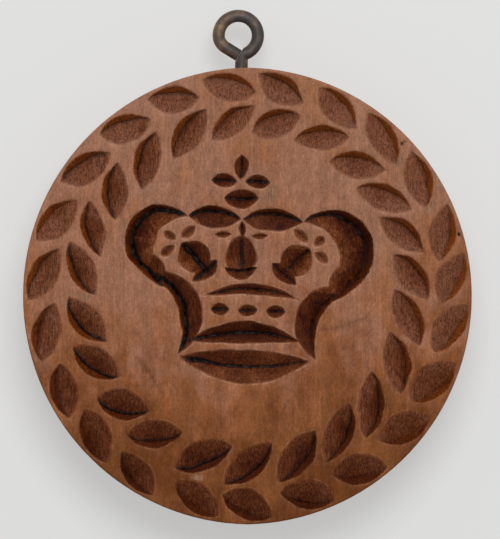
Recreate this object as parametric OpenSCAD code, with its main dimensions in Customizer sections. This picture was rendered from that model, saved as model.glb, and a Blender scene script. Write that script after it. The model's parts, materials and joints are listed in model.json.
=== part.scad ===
// Springerle mould: a round block of wood carved in reverse, with a crown inside a wreath of
// two rows of leaves, and a wire screw eye in its rim to hang it by. It lies on its back:
// the carved face looks up, the eye points along +Y, the origin is the middle of the back.

/* [Block] */
// Diameter of the block along the grain
block_d = 100; // [94:1:112]
// Diameter lost across the grain as the wood dried
shrinkage = 1.8; // [0.4:0.1:3]
// Thickness of the block
block_t = 16; // [13:0.5:22]
// Radius of the worn arris round the face
face_arris = 0.4; // [0.3:0.1:0.6]
// Radius of the arris round the back
back_arris = 1.2; // [0.4:0.1:2]

/* [Wreath] */
// Leaves in each row
leaf_count = 23; // [20:1:24]
// Length of a leaf of the outer row
outer_length = 12.2; // [10:0.1:13]
// Length of a leaf of the inner row
inner_length = 12.8; // [10:0.1:13.5]
// Distance from the rim to the middle of the outer leaves
outer_inset = 4.5; // [4.3:0.1:5]
// Distance from the rim to the middle of the inner leaves
inner_inset = 13.1; // [12:0.1:14]
// Height of the inner row's centre above the block's, towards the eye
inner_lift = 0.9; // [0:0.1:1.5]
// Turn of an outer leaf out of its row, tip outward
outer_tilt = 23; // [16:1:28]
// Turn of an inner leaf out of its row, tip inward
inner_tilt = 34; // [26:1:40]
// Bow of an outer leaf's rim-side edge
outer_wall_bow = 3.1; // [2:0.1:3.3]
// Bow of an outer leaf's centre-side edge
outer_floor_bow = 3.4; // [2.5:0.1:3.8]
// Bow of an inner leaf's rim-side edge
inner_wall_bow = 3.4; // [2.6:0.1:4]
// Bow of an inner leaf's centre-side edge
inner_floor_bow = 2.6; // [1.6:0.1:3]
// Slope of a leaf's rim-side wall, in degrees
leaf_wall = 54; // [45:1:65]
// Slope of a leaf's broad floor, in degrees
leaf_floor = 23; // [15:1:30]

/* [Crown] */
// Shift of the crown's middle line from the block's, towards +X
crown_shift = -0.6; // [-2:0.1:2]
// Drop of the crown for each mm towards +X, as it was cut by eye
crown_lean = 0.04; // [0:0.01:0.06]
// Distance from the middle line to the centre of a lobe
lobe_x = 19; // [18:0.1:20]
// Height of a lobe's centre above the block's
lobe_y = 11.1; // [10:0.1:12]
// Mean radius of the two lobes
lobe_r = 8.5; // [8:0.1:9]
// Excess of the right lobe's radius over the mean
lobe_bias = 0.5; // [0:0.1:0.8]
// Shift of both lobes and their waists from the crown's middle line, towards +X
lobe_shift = 0.5; // [0:0.1:0.8]
// Height that the left lobe is cut above its place, and the right one below it
lobe_drop = 0.5; // [0:0.1:0.7]
// Direction of the point where a lobe meets its arch, in degrees from +X
cusp_angle = 140; // [132:1:146]
// Direction of the lobe channel's lower end
lobe_end_angle = -100; // [-105:1:-85]
// Direction in which the waist leaves the lobe
waist_angle = -65; // [-70:1:-60]
// Mean width of the channel round a lobe
lobe_channel = 7.8; // [6:0.1:8.4]
// Direction from a lobe's centre to the start of the bridge between lobe and waist
bridge_angle = -26; // [-34:1:-18]
// Turn round the waist to the bridge's end, in degrees
bridge_turn = 22; // [15:1:25]
// Bow of the bridge's outer edge
bridge_rise = 1; // [0.8:0.1:1.4]
// Mean bow of the two bridges' inner edges
bridge_sag = 4.8; // [4.4:0.1:4.9]
// Radius of the waist under a lobe
waist_r = 13.8; // [12:0.1:15]
// Width of the channel down the waist
waist_channel = 5.6; // [4.5:0.1:6]
// Height of the dip between the two middle arches
arch_y = 16.6; // [16:0.1:17.4]
// Shift of that dip, the flower below it and the finial from the crown's middle line, towards +X
middle_shift = -0.7; // [-1:0.1:0]
// Rise of a middle arch
arch_rise = 3; // [2.4:0.1:3.4]
// Depth of a middle arch's lower edge
arch_sag = 2.4; // [2:0.1:2.5]
// Distance that an arch's cut runs on into the lobe
arch_lap = 0.3; // [0.2:0.05:0.5]
// Height of the foot's points, below the block's centre
foot_y = -13.5; // [-14.2:0.1:-13]
// Half length of the foot
foot_x = 14.6; // [14:0.1:15]
// Rise of the foot's upper edge
foot_rise = 2; // [1.6:0.1:2.3]
// Depth of the foot's lower edge
foot_sag = 5.9; // [5:0.1:6.6]
// Half length of the upper band
upper_band_x = 10.7; // [10:0.1:10.9]
// Height of the upper band's points
upper_band_y = -0.6; // [-1.2:0.1:-0.4]
// Shift of the upper band from the crown's middle line, towards +X
upper_band_shift = 1.3; // [1.1:0.1:1.4]
// Bow of the upper band's lower edge
upper_band_hollow = 0.8; // [0.4:0.1:1.2]
// Rise of the upper band
upper_band_rise = 3.6; // [3.2:0.1:3.7]
// Half length of the lower band
lower_band_x = 12.4; // [11.5:0.1:12.8]
// Height of the lower band's points
lower_band_y = -10.4; // [-10.6:0.1:-10]
// Depth of the lower band's lower edge
lower_band_sag = 0.6; // [0.3:0.1:0.8]
// Rise of the lower band
lower_band_rise = 4.6; // [4.2:0.1:4.8]
// Height that the lower band's right end is cut above the crown's lean
lower_band_turn = 0.9; // [0:0.1:1]
// Spacing of the three stones between the bands
stone_pitch = 6.1; // [5.6:0.1:6.6]
// Height of the stones
stone_y = -3.1; // [-3.4:0.1:-2.8]
// Shift of the stones from the crown's middle line, towards +X
stone_shift = 0.7; // [0:0.1:1]
// Length of a stone
stone_length = 4.4; // [3.6:0.1:4.8]
// Width of a stone
stone_w = 3.2; // [2.4:0.1:3.4]
// Slope of the crown's outer walls, in degrees
crown_wall = 62; // [50:1:68]
// Slope of the crown's inner floors, in degrees
crown_floor = 31; // [25:1:38]
// Slope of the bands, stones, flowers and finial, in degrees
motif_slope = 40; // [30:1:45]

/* [Flowers and finial] */
// Shift of the left and the right flower's heart, towards +X
heart_shift = [0.7, -0.3]; // [-0.5:0.1:0.8]
// Width of a side flower's heart
heart_w = 7.2; // [6:0.1:7.4]
// Width of the sepal under a side flower
sepal_w = 3.8; // [2.8:0.1:4]
// Width of a side flower's small petals
petal_w = 2.2; // [1.6:0.1:2.3]
// Top and bottom of the middle flower's heart
middle_heart_y = [13.5, 3.8]; // [3.6:0.1:13.6]
// Width of the middle flower's heart
middle_heart_w = 7.6; // [7:0.1:7.8]
// Slope of the middle flower's heart, in degrees
middle_heart_slope = 24; // [18:1:28]
// Half width of the sepal under the middle flower
middle_sepal_x = 3.75; // [3:0.05:4]
// Height of that sepal's upper edge
middle_sepal_y = 6.2; // [6:0.1:6.4]
// Depth of that sepal's lower edge
middle_sepal_sag = 2.8; // [2.4:0.1:3]
// Slight rise of that sepal's upper edge
middle_sepal_rise = 0.2; // [0.1:0.1:0.4]
// Top and bottom of the notch above the middle flower
notch_y = [16.5, 12.4]; // [11:0.1:17]
// Width of the notch
notch_w = 2; // [1.5:0.1:2.4]
// Sideways run of the notch from top to bottom, towards +X
notch_run = 0.2; // [0.1:0.05:0.4]
// Inner and outer end of the leaf on each side of the notch
notch_leaf_x = [2, 6]; // [1.9:0.1:6.2]
// Height of those leaves
notch_leaf_y = 13.2; // [12.9:0.1:13.4]
// Width of those leaves
notch_leaf_w = 1.8; // [1.4:0.1:1.9]
// Height of the finial's ball
ball_y = 21.3; // [21:0.1:22]
// Half length of the ball
ball_x = 3.9; // [3.4:0.1:4.3]
// Height of the ball's cut from edge to edge
ball_h = 4.8; // [4:0.1:5]
// Height of the cross arms above the ball
arm_y = 25.1; // [24.9:0.1:26]
// Inner and outer end of a cross arm
arm_x = [0.7, 6.7]; // [0.6:0.1:7]
// Bottom and top of the cross's upright
upright_y = [25.5, 31.2]; // [25.3:0.1:32]
// Width of the cross's arms and upright
cross_w = 3.5; // [2.6:0.1:3.8]

/* [Screw eye] */
// Diameter of the loop's wire
wire_d = 2.7; // [2.2:0.1:2.8]
// Inside diameter of the loop
loop_d = 5.9; // [5.7:0.1:7]
// Diameter of the shank
shank_d = 2.8; // [2.3:0.1:3.2]
// Shift of the shank from the block's middle line, towards +X
eye_x = -1.3; // [-3:0.1:3]
// Shift of the loop's centre from the shank, away from its cut end
loop_shift = -0.7; // [-1:0.1:-0.4]
// Neck between the rim and the loop
neck_length = 1.5; // [0.8:0.1:4]
// Turn of the wire round the loop, in degrees
loop_turn = 335; // [325:1:340]
// Gap between the cut end of the wire and the neck
wire_gap = 0.15; // [0.05:0.05:0.3]
// Length of the shank inside the wood
shank_length = 16; // [10:0.5:20]
// Length of the shank's point
point_length = 4; // [2:0.5:6]
// Clearance round the shank in its hole
shank_gap = 0.04; // [0.02:0.01:0.09]

/* [Hidden] */
$fn = 96;
wood = "#8c5d45";
bronze = "#5e5046";
// Height of a cutting cone above the face, its reach below it as a share of the thickness, and
// the most of a cone that is used, short of its tip
clear = 0.3;
reach_share = 0.4;
cone_share = 0.95;
cut_reach = reach_share * block_t;
block_r = block_d / 2;
half_shrink = shrinkage / 2;
mid_t = block_t / 2;
// Rim at the eye, the loop's centre, and the angles where its wire leaves the neck and ends
rim_y = sqrt(block_r * block_r - pow(half_shrink + abs(eye_x), 2));
loop_r = (loop_d + wire_d) / 2;
loop_x = eye_x + loop_shift;
loop_y = rim_y + neck_length + wire_d / 2 + loop_r;
loop_start = -acos(-loop_shift / loop_r);
shank_top = loop_y + loop_r * sin(loop_start);
// Ends of a side flower's chips, from the crown's middle line: heart, sepal and small petals
heart_ends = [[14.8, 11.4], [8.8, 5.2]];
sepal_ends = [[11.6, 2.7], [5.6, 7.7]];
petal_ends = [[[17.3, 13.4], [15.3, 11.6]], [[13.9, 12.5], [10.8, 14.8]], [[18.2, 8.2], [15.6, 10.4]]];
// How each hand-cut leaf strays from an even row, clockwise from the eye: degrees along the
// row, mm outward, mm of extra length, degrees of extra turn outward, and mm of extra bow of
// its rim-side and its centre-side edge
outer_phase = 352.7;
outer_hand = [
    [3, 0.6, -1.1, -2, 0, -0.1], [1, 0.4, -0.7, 1, 0, 0.2], [2, 0.2, -0.1, -1, 0, -0.2],
    [1.5, 0.1, 0.5, -3, 0.1, -0.5], [1, 0.2, 0.2, -4, 0.2, -0.4], [1.5, 0.2, 0.7, 2, -0.2, -0.3],
    [-1.5, 0.2, 0, 6, -0.2, 0], [-3.5, 0.2, 0.2, 3, 0, 0.2], [-3.5, -0.1, 0.6, 2, 0.3, 0.4],
    [-4, 0, -0.1, 3, 0.1, 0.3], [-2.5, 0.1, -0.1, 2, 0, 0.3], [-2, 0.2, -0.3, 1, 0, 0.3],
    [-0.5, 0.3, -0.3, 1, 0, 0.3], [-2, 0.2, -0.4, 2, 0, -0.1], [0.5, 0.4, -0.8, -3, 0.1, -0.2],
    [0.5, 0.1, 0.2, -2, 0.1, 0.1], [0, 0.1, -0.3, -6, 0.4, -0.4], [1, -0.5, 0.6, -1, 0.7, -0.7],
    [1.5, 0.2, 0.7, 1, 0, -0.1], [1, 0.1, 0, 1, 0.2, -0.1], [2, 0.2, 0.2, -1, 0, 0.1],
    [2, 0.3, -0.7, -3, 0.1, 0.2], [2, 0.5, -1, -5, 0.1, 0]
];
inner_phase = 353.4;
inner_hand = [
    [2, 0.2, -0.9, -1, 0, 0], [1, 0.3, -1.7, 4, 0.4, 0.7], [2, 0.3, -0.8, 5, 0.1, 0],
    [1.5, -0.1, -0.7, 1, 0.1, 0.3], [0.5, -0.3, 0, 0, 0, 0], [-1.5, -0.3, -0.4, 3, 0, 0],
    [-2.5, -0.3, -0.4, 1, 0.2, 0.1], [-4, -0.7, 0.7, 1, 0, 0], [-3.5, -0.5, 0.8, -1, 0.3, -0.2],
    [-2, -0.2, 1.6, -3, 0.2, -0.2], [-3, -0.2, 0.9, -1, 0.2, 0], [-2.5, 0.6, 0.9, -4, 0.2, 0.5],
    [-1.5, 0.6, 0.9, -6, 0, 0.5], [-1.5, 0.5, 0.5, -2, -0.3, 1.1], [1.5, 0.4, -0.8, -3, 0.1, 0.7],
    [0.5, 0.2, -0.9, -1, 0.4, 0.9], [2, 0.1, -0.9, 2, 0.4, 0.5], [1, -0.5, -0.2, 2, 0.3, 0.3],
    [3, 0.3, -0.2, 1, 0, 0.1], [1.5, -0.1, -0.3, 0, -0.1, -0.4], [0.5, -0.3, -0.3, -1, 0.1, 0],
    [0.5, -0.7, 0.2, -5, 0, 0], [2, -0.2, -0.1, -2, 0.2, 0.1]
];

// Point of the crown's pattern, on side s (1 right, -1 left), as it lands on the block
function at(p, s = 1) = [crown_shift + s * p.x, p.y - crown_lean * s * p.x];
function on_circle(c, r, a) = c + r * [cos(a), sin(a)];
function arc_r(length, bow) = (length * length / 4 + bow * bow) / (2 * abs(bow));

// Cone whose edge on the face is an arc through both points of a chip, bowed by bow to one
// side (1 left, -1 right). It narrows downward, or widens where the edge bows inward.
module edge_cone(length, bow, slope, side) {
    r = arc_r(length, bow);
    run = 1 / tan(slope);
    inward = bow < 0;
    depth = inward ? cut_reach + clear : min(cut_reach, cone_share * r / run);
    top = inward || side > 0 ? 2 * clear : clear;
    flare = inward ? -run : run;
    translate([0, side * (inward ? bow + r : bow - r), -depth])
        cylinder(h = depth + top, r1 = r - depth * flare, r2 = r + top * flare);
}

// One chip cut, pointed at a and b. Its left and right edges bow out from the line between
// them, and each side slopes down from the face until the two meet in a V.
module chip(a, b, left, right, left_slope, right_slope) {
    along = b - a;
    length = norm(along);
    middle = (a + b) / 2;
    translate([middle.x, middle.y, block_t])
        rotate(atan2(along.y, along.x))
            if (left < 0)
                difference() {
                    edge_cone(length, right, right_slope, -1);
                    edge_cone(length, left, left_slope, 1);
                }
            else if (right < 0)
                difference() {
                    edge_cone(length, left, left_slope, 1);
                    edge_cone(length, right, right_slope, -1);
                }
            else
                intersection() {
                    edge_cone(length, left, left_slope, 1);
                    edge_cone(length, right, right_slope, -1);
                }
}

// Chip of the crown on side s: the left one is the right one in a mirror
module side_chip(s, a, b, left, right, left_slope, right_slope) {
    if (s > 0)
        chip(at(a, s), at(b, s), left, right, left_slope, right_slope);
    else
        chip(at(b, s), at(a, s), left, right, left_slope, right_slope);
}

// Chip with both edges alike and both sides at the motif slope
module even_chip(s, a, b, width) {
    side_chip(s, a, b, width / 2, width / 2, motif_slope, motif_slope);
}

// Row of leaves, each from its stem to its tip anticlockwise of it
module leaf_row(inset, lift, phase, length, tilt, wall_bow, floor_bow, hand) {
    for (k = [0 : leaf_count - 1]) {
        own = hand[k % len(hand)];
        turn = phase + k * 360 / leaf_count + own[0];
        radial = [sin(turn), cos(turn)];
        middle = [
            (block_r - half_shrink - inset + own[1]) * radial.x,
            (block_r - inset + own[1]) * radial.y + lift
        ];
        heading = 180 - turn - tilt - own[3];
        own_length = length + own[2];
        plump = min(1, own_length / length);
        half = own_length / 2 * [cos(heading), sin(heading)];
        wall = plump * (wall_bow + own[4]);
        floor = plump * (floor_bow + own[5]);
        chip(middle - half, middle + half, floor, wall, leaf_floor, leaf_wall);
    }
}

module outer_leaves() {
    leaf_row(outer_inset, 0, outer_phase, outer_length, outer_tilt,
        outer_wall_bow, outer_floor_bow, outer_hand);
}

module inner_leaves() {
    leaf_row(inner_inset, inner_lift, inner_phase, inner_length, -inner_tilt,
        inner_wall_bow, inner_floor_bow, inner_hand);
}

// Lobe, waist, the bridge between them and arch on one side: the crown's outline
module crown_outline(s) {
    r = lobe_r + s * lobe_bias;
    lobe = [lobe_x + s * lobe_shift, lobe_y - s * lobe_drop];
    cusp = on_circle(lobe, r, cusp_angle);
    lobe_end = on_circle(lobe, r, lobe_end_angle);
    lobe_chord = norm(cusp - lobe_end);
    lobe_bow = r + sqrt(r * r - lobe_chord * lobe_chord / 4);
    island_bow = lobe_bow - lobe_channel - s * lobe_bias;
    side_chip(s, cusp, lobe_end, lobe_bow, -island_bow, crown_wall, crown_floor);

    join = on_circle(lobe, r, waist_angle);
    waist = on_circle(lobe, r + waist_r, waist_angle);
    corner = [waist.x - sqrt(waist_r * waist_r - pow(foot_y - waist.y, 2)), foot_y];
    waist_chord = norm(join - corner);
    waist_bow = waist_r - sqrt(waist_r * waist_r - waist_chord * waist_chord / 4);
    side_chip(s, join, corner, -waist_bow, waist_bow + waist_channel, crown_wall, crown_floor);

    bridge_start = on_circle(lobe, r, bridge_angle);
    bridge_end = on_circle(waist, waist_r, waist_angle + 180 + bridge_turn);
    inner_bow = bridge_sag + s * lobe_bias;
    side_chip(s, bridge_start, bridge_end, bridge_rise, inner_bow, crown_wall, crown_floor);

    arch_end = cusp + [arch_lap, arch_lap / 2];
    dip = [s * middle_shift, arch_y];
    side_chip(s, dip, arch_end, arch_rise, arch_sag, crown_wall, crown_floor);
}

module side_flower(s) {
    shift = [s * heart_shift[s > 0 ? 1 : 0], 0];
    even_chip(s, heart_ends[0] + shift, heart_ends[1] + shift, heart_w);
    even_chip(s, sepal_ends[0], sepal_ends[1], sepal_w);
    for (petal = petal_ends)
        even_chip(s, petal[0], petal[1], petal_w);
}

module middle_flower() {
    heart_top = at([middle_shift, middle_heart_y[0]]);
    heart_bottom = at([middle_shift, middle_heart_y[1]]);
    half_w = middle_heart_w / 2;
    chip(heart_top, heart_bottom, half_w, half_w, middle_heart_slope, middle_heart_slope);
    even_chip(1, [middle_shift, notch_y[0]], [middle_shift + notch_run, notch_y[1]], notch_w);
    sepal_left = at([middle_shift - middle_sepal_x, middle_sepal_y]);
    sepal_right = at([middle_shift + middle_sepal_x, middle_sepal_y]);
    chip(sepal_left, sepal_right, middle_sepal_rise, middle_sepal_sag, crown_wall, motif_slope);
    for (s = [-1, 1]) {
        inner = [notch_leaf_x[0] + s * middle_shift, notch_leaf_y];
        outer = [notch_leaf_x[1] + s * middle_shift, notch_leaf_y];
        even_chip(s, inner, outer, notch_leaf_w);
    }
}

module bands() {
    upper_left = at([upper_band_shift - upper_band_x, upper_band_y]);
    upper_right = at([upper_band_shift + upper_band_x, upper_band_y]);
    lower_left = at([-lower_band_x, lower_band_y]);
    lower_right = at([lower_band_x, lower_band_y + lower_band_turn]);
    foot = [foot_x, foot_y];
    chip(upper_left, upper_right, upper_band_rise, -upper_band_hollow, motif_slope, motif_slope);
    chip(lower_left, lower_right, lower_band_rise, lower_band_sag, motif_slope, motif_slope);
    chip(at(foot, -1), at(foot), foot_rise, foot_sag, crown_floor, crown_floor);
    for (s = [-1 : 1]) {
        middle = [stone_shift + s * stone_pitch, stone_y];
        half = [stone_length / 2, 0];
        even_chip(1, middle - half, middle + half, stone_w);
    }
}

module finial() {
    even_chip(1, [middle_shift - ball_x, ball_y], [middle_shift + ball_x, ball_y], ball_h);
    even_chip(1, [middle_shift, upright_y[0]], [middle_shift, upright_y[1]], cross_w);
    for (s = [-1, 1]) {
        inner = [arm_x[0] + s * middle_shift, arm_y];
        outer = [arm_x[1] + s * middle_shift, arm_y];
        even_chip(s, inner, outer, cross_w);
    }
}

// Turned outline of the block, from its axis to radius block_r
module block_profile() {
    square([block_r - back_arris, mid_t]);
    translate([0, mid_t])
        square([block_r - face_arris, mid_t]);
    translate([0, back_arris])
        square([block_r, block_t - back_arris - face_arris]);
    translate([block_r - back_arris, back_arris])
        circle(back_arris);
    translate([block_r - face_arris, block_t - face_arris])
        circle(face_arris);
}

// Two halves of a round, drawn together across the grain, make the slight oval
module blank() {
    for (s = [-1, 1])
        intersection() {
            translate([-s * half_shrink, 0, 0])
                rotate_extrude()
                    block_profile();
            translate([s > 0 ? 0 : -block_d, -block_d, -clear])
                cube([block_d, 2 * block_d, block_t + 2 * clear]);
        }
}

// Half outline of the shank, from its point up to the rim and on by rise, grown by gap
module shank_profile(rise, gap) {
    r = shank_d / 2 + gap;
    polygon([
        [0, -shank_length - gap], [r, point_length - shank_length], [r, rise], [0, rise]
    ]);
}

// Solid of a shank outline turned about the eye's axis, with its y = 0 at the rim
module on_eye_axis() {
    translate([eye_x, rim_y, mid_t])
        rotate([-90, 0, 0])
            rotate_extrude()
                children();
}

module mould_disc() {
    color(wood)
        difference() {
            blank();
            outer_leaves();
            inner_leaves();
            crown_outline(-1);
            crown_outline(1);
            side_flower(-1);
            side_flower(1);
            middle_flower();
            bands();
            finial();
            on_eye_axis()
                shank_profile(neck_length, shank_gap);
        }
}

// Room left of the neck, which the wire's end is cut back to
module end_room() {
    r = shank_d / 2 + wire_gap;
    height = loop_y - rim_y;
    intersection() {
        translate([eye_x, rim_y, mid_t])
            rotate([-90, 0, 0])
                cylinder(h = height, r = r);
        translate([eye_x - r - clear, rim_y, mid_t - r - clear])
            cube([r / 2 + clear, height, 2 * (r + clear)]);
    }
}

module screw_eye() {
    color(bronze) {
        on_eye_axis() {
            shank_profile(shank_top - rim_y, 0);
            translate([0, shank_top - rim_y])
                intersection() {
                    circle(d = shank_d);
                    square(shank_d);
                }
        }
        difference() {
            translate([loop_x, loop_y, mid_t])
                rotate(loop_start)
                    rotate_extrude(angle = loop_turn)
                        translate([loop_r, 0])
                            circle(d = wire_d);
            end_room();
        }
    }
}

mould_disc();
screw_eye();
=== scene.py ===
import json
import math
from collections import namedtuple

import bmesh
import bpy
from bpy.props import FloatProperty, FloatVectorProperty, PointerProperty
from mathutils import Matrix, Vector, bvhtree, geometry, kdtree, noise


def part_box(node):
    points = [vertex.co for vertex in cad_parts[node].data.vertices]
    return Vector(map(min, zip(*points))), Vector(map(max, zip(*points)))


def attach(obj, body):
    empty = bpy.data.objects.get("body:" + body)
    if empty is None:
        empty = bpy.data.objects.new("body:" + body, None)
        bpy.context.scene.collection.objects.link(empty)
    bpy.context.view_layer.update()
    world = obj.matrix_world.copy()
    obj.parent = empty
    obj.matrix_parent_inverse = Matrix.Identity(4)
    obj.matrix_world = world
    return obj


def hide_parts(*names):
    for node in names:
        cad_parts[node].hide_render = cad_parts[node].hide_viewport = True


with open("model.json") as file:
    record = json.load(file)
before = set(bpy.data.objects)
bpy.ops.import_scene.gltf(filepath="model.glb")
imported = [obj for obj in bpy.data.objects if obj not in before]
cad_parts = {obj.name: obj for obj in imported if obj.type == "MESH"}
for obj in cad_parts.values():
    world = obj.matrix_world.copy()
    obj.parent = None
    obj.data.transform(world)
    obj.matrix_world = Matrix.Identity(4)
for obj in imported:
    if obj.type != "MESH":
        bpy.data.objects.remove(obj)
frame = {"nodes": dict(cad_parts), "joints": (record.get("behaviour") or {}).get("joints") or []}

bl_info = {
    "name": "Springerle Mould",
    "version": (1, 0, 0),
    "blender": (4, 5, 0),
    "location": "View3D > Sidebar > Springerle",
    "description": "Carved wooden cookie mould with a crown in a wreath, and its screw eye",
    "category": "Object",
}

MM = 0.001
BLOCK_NODE = "mould_disc"
EYE_NODE = "screw_eye"
PHOTO_W = 500
PHOTO_H = 539
# Points closer than this become one
WELD = 0.002 * MM
# Edges sharper than this stay sharp
BLOCK_SHARP = math.radians(50)
EYE_SHARP = math.radians(40)

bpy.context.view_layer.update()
BLOCK_LOW, BLOCK_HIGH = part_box(BLOCK_NODE)
EYE_LOW, EYE_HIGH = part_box(EYE_NODE)
FACE_Z = BLOCK_HIGH.z

# The eye's axis where it leaves the rim, its loop and its shank
EYE_ROOT = Vector(frame["joints"][0]["pos_m"])
LOOP_OUTER = (EYE_HIGH.x - EYE_LOW.x) / 2
LOOP_CENTRE = Vector(((EYE_HIGH.x + EYE_LOW.x) / 2, EYE_HIGH.y - LOOP_OUTER, EYE_ROOT.z))
SHANK_R = (EYE_HIGH.z - EYE_LOW.z) / 2
# Angles of the bent wire: where it leaves the neck, where it tightens, its turn there and its
# last heading
LOOP_FROM = math.radians(-80)
BEND_FROM = math.radians(180)
BEND_TURN = math.radians(58)
ARM_HEADING = BEND_FROM + BEND_TURN + math.pi / 2
# Sides of the wire, and steps of its loop and of its tighter bend
WIRE_SIDES = 32
LOOP_STEPS = 60
BEND_STEPS = 16
# Slot that parts the wire's end from the neck: depth, width and height in wires, and how near the
# end of the bend, in wires, and how square to it the face to draw out lies
SLOT = (0.6, 1.45, 2)
END_NEAR = 0.2
END_SQUARE = 0.999
END_BEVEL = 0.12 * MM
# Shank: sides, rings, length of its point, blunt end of it as a share of the radius, and how far
# under the rim the thread begins and is full
SHANK_SIDES = 28
SHANK_RINGS = 120
POINT_LENGTH = 4 * MM
POINT_BLUNT = 0.04
THREAD_FROM = 0.6 * MM
THREAD_FULL = 2.6 * MM

# Table, window light and camera
TABLE_SIZE = 3
TABLE_DROP = 0.02 * MM
WINDOW_AT = (0.06, 0.4, 0.82)
SKY_TONE = (0.97, 0.98, 1, 1)
CLIP_START = 0.01

# Outline of the block: radius of its two half rounds, and how far each is drawn in
HALF_SHRINK = (BLOCK_HIGH.y ** 2 - BLOCK_HIGH.x ** 2) / (2 * BLOCK_HIGH.x)
BLOCK_R = BLOCK_HIGH.x + HALF_SHRINK
# What a face of the CAD block is, and what a point of the front lies on
FACE, CUT, OTHER = "face", "cut", "other"
EDGE, SCRATCH = "edge", "scratch"
# Upward part of the normal of the flat front and of a carved face, and slack in its height
FACE_UP = 0.9999
CUT_UP = (0.1, 0.999)
FACE_SLACK = 0.01 * MM
# Depth that no cut passes, rim left uncarved, and how sharp a valley or ridge is kept as a line
DEEPEST_CUT = 8 * MM
RIM_ROLL = 0.45 * MM
CREASE_ANGLE = math.radians(16)
# Net of points: rows lie closer than points in a row, only one in six is set on the plain face,
# a point needs room, as a share of the arris or of the net's step, and the bottoms of cuts are
# measured from points this close
ROW_SHARE = math.sqrt(3) / 2
FACE_STRIDE = 6
RING_ROOM = 0.8
NET_ROOM = 0.6
BOTTOM_STEP = 0.1 * MM
# Distances from the middle of the block at which the two rows of leaves begin
INNER_ROW = 32 * MM
OUTER_ROW = 41.5 * MM
# Points of the front this close in plan, in millimetres, are one
SAME_SPOT = 0.0001
# What each point of the front tells the wood's shader
MARKS = ("cut", "wall", "stain", "wax_and_shade", "painted_glint", "arris", "torn")

# A point of the front: its place, the way its surface faces, its cut or None, what it lies on
Point = namedtuple("Point", "place facing cut lies")
# Stain on a wall or floor at the face, its gain with each millimetre of depth, partly painted
# shade, and at the foot
Stain = namedtuple("Stain", "base deeper lower")
# How the crown and the two rows of leaves differ: stain, partly painted shade of depth, on walls
# and floors, how patchy it is and how like walls the floors look; share of black wax and painted
# shade, what the side and chance add to it, how far it reaches up floor and wall, how ragged it is
# and where its painted glint lies, in millimetres from the bottom; height of torn fibre; bareness
# of the arrises, worn wood with a painted highlight
Row = namedtuple(
    "Row", "wall_stain floor_stain patchy clean wax by_side by_luck on_floor on_wall ragged shine "
    "fibre arris"
)
CROWN = Row(
    Stain(0.296, 0.16, 0), Stain(0.555, 0.1, 0), patchy=0.34, clean=0.45, wax=1, by_side=0,
    by_luck=0, on_floor=0.42, on_wall=0.25, ragged=0.4, shine=(-1, 0.06), fibre=0.65, arris=1,
)
INNER = Row(
    Stain(0.15, 0, 0.45), Stain(-0.0075, 0.27, 0.3), patchy=0.2, clean=0, wax=0.54, by_side=-0.32,
    by_luck=0.6, on_floor=0.45, on_wall=0.14, ragged=0.8, shine=(0.05, 0.45), fibre=0.65, arris=0.4,
)
OUTER = Row(
    Stain(0.05, 0, 0.6), Stain(-0.0275, 0.11, 0.42), patchy=0.2, clean=0, wax=0.2, by_side=-0.12,
    by_luck=0.7, on_floor=0.45, on_wall=0.16, ragged=0.8, shine=(0.05, 0.4), fibre=1, arris=0.4,
)
# Span of the chance from cut to cut, slant and span of the change from side to side, and depth
# under which a cut counts as small
LUCK_SPAN = 3 * MM
SIDE_SLANT = 0.6
SIDE_SPAN = 18 * MM
SMALL_DEPTH = 1.3 * MM
# Heights in millimetres between which the leaves' stain darkens and the crown's floors turn
# pale, and by how much these do
LEAF_DARKENS = (-2, -32)
FOOT_PALES = (-9, -15)
FOOT_PALE = 0.22
# Stain that chance and side add, and that small cuts lack
STAIN_BY_LUCK = 0.1
STAIN_BY_SIDE = -0.08
STAIN_BY_SMALL = -0.75
# Black wax and painted shade in the crown: where it reaches further on the left, by how much on
# floor and wall, and where it is scarce on the lower right
CROWN_LEFT = (-6, -14)
LEFT_FLOOR, LEFT_WALL = 0.45, 0.1
CROWN_RIGHT = (5, 11)
CROWN_LOWER = (11, 5)
WAX_SHADE_SCARCE = 0.6
# Depth in millimetres at which wax and painted shade are full, and how steeply they thin out above
WAX_SHADE_DEPTH = 0.6
WAX_SHADE_POWER = 1.5
# A surface is all floor where the upward part of its normal is over the first, all wall under
# the second
FLOOR_UP, WALL_UP = 0.8, 0.6
# Depth in millimetres at which a floor has lost the face's tone, and how much sooner a wall has
CUT_FADE = 0.26
WALL_SOONER = 0.1
# Sizes in millimetres of the patches of stain, ragged wax and painted shade, painted glints
# and torn lumps and fibres, the weight of the smaller patches of stain and the mean of the
# painted glints
STAIN_PATCHES = (1.7, 5)
SMALL_PATCHES = 0.7
WAX_SHADE_PATCH = 1.3
PAINTED_GLINT_PATCH = 0.9
PAINTED_GLINT_MEAN = 0.4
LUMP = 1.7
FIBRE = (0.34, 1.3)
# Torn fibre is full from this depth in millimetres, and a wall lacks this share of it
FIBRE_DEPTH = 0.4
WALL_CLEAN = 0.75
# The knife line runs this near the bottom of a cut where the cut is this deep, in millimetres
STOP_NEAR = 0.05
STOP_FROM = 0.3
# Depth of a scratch and how dark it is, and how far a worn arris is rounded down
SCRATCH_DEPTH = 0.06 * MM
SCRATCH_DARK = 0.3
ARRIS_ROUND = 0.3
# Knife's wander across and along the grain, and edge and depth of torn patches: width and length
# in millimetres and layer of each pattern
WANDER_X, WANDER_Y = (3.1, 3.1, 11), (3.7, 3.7, 23)
TORN_EDGE, TORN_DEPTH = (0.4, 1.1, 3), (0.3, 0.9, 7)

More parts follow.
